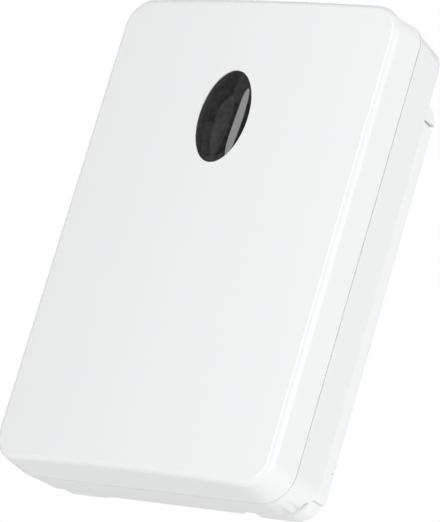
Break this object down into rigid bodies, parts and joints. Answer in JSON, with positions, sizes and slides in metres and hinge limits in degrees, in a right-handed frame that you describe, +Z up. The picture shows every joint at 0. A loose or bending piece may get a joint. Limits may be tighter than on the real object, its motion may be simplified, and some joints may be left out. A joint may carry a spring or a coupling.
{
  "type": "wireless dusk sensor",
  "caption": "Battery powered outdoor dusk sensor with a crowned cover, an oval light window, inner dials and buttons, hung on a wall plate.",
  "frame": {"origin": "on the wall plate's rear face, behind the middle of the case", "axes": "+Z up as mounted, +Y into the wall, front faces -Y, +X to the viewer's right"},
  "size_m": [0.072, 0.0255, 0.1054],
  "materials": {
    "white_shell": "glossy white moulded plastic",
    "white_plate": "fine satin white moulded plastic",
    "smoked_window": "polished smoked clear plastic",
    "adhesive": "black foam adhesive",
    "black_rubber": "soft black rubber",
    "green_board": "green coated glass fibre",
    "steel": "zinc plated steel",
    "nickel": "nickel plated",
    "copper_wire": "enamelled copper wire",
    "grey_dial": "dark grey plastic",
    "grey_button": "grey plastic",
    "black_plastic": "black moulded plastic",
    "lamp": "tinted clear resin",
    "light_cell": "ceramic with a clear coat",
    "capacitor_sleeve": "shrink sleeve",
    "cell_sleeve": "printed metal sleeve"
  },
  "bodies": {
    "plate": {"wall_plate": "white_plate"},
    "sensor": {"rear_housing": "white_shell", "control_panel": "white_plate", "case_seal": "black_rubber", "light_shroud": "black_rubber", "circuit_board": "green_board", "radio_board": "green_board", "board_screws": "steel", "holder_screws": "steel", "panel_screws": "steel", "radio_pins": "steel", "chip_leads": "steel", "radio_can": "nickel", "crystal": "nickel", "upper_spring": "nickel", "lower_spring": "nickel", "negative_contact": "nickel", "positive_contact": "nickel", "bridge_contact": "nickel", "antenna_coil": "copper_wire", "battery_holder": "black_plastic", "main_chip": "black_plastic", "chip_parts": "black_plastic", "on_switch": "black_plastic", "off_switch": "black_plastic", "lux_potentiometer": "black_plastic", "time_switch": "black_plastic", "status_lamp": "lamp", "light_cell": "light_cell", "capacitor": "capacitor_sleeve", "upper_battery": "cell_sleeve", "lower_battery": "cell_sleeve"},
    "cover": {"front_cover": "white_shell", "window_lens": "smoked_window", "window_tape": "adhesive"},
    "lux_dial": {"lux_dial": "grey_dial"},
    "time_dial": {"time_dial": "grey_dial"},
    "on_button": {"on_button": "grey_button", "on_plunger": "steel"},
    "off_button": {"off_button": "grey_button", "off_plunger": "steel"}
  },
  "joints": [
    {"name": "sensor_tilt", "type": "hinge", "parent": "plate", "child": "sensor", "pos_m": [0, -0.00235, 0.0368], "axis": [-1, 0, 0], "range_deg": [0, 15]},
    {"name": "cover_pull", "type": "slide", "parent": "sensor", "child": "cover", "axis": [0, -1, 0], "range_m": [0, 0.03]},
    {"name": "lux_turn", "type": "hinge", "parent": "sensor", "child": "lux_dial", "pos_m": [-0.017, -0.018, -0.00145], "axis": [0, 1, 0], "range_deg": [-135, 135]},
    {"name": "time_turn", "type": "hinge", "parent": "sensor", "child": "time_dial", "pos_m": [0.017, -0.018, -0.00145], "axis": [0, 1, 0], "range_deg": [-120, 120]},
    {"name": "on_press", "type": "slide", "parent": "sensor", "child": "on_button", "axis": [0, 1, 0], "range_m": [0, 0.0005], "stiffness_N_per_m": 400, "springref_m": -0.001},
    {"name": "off_press", "type": "slide", "parent": "sensor", "child": "off_button", "axis": [0, 1, 0], "range_m": [0, 0.0005], "stiffness_N_per_m": 400, "springref_m": -0.001}
  ]
}
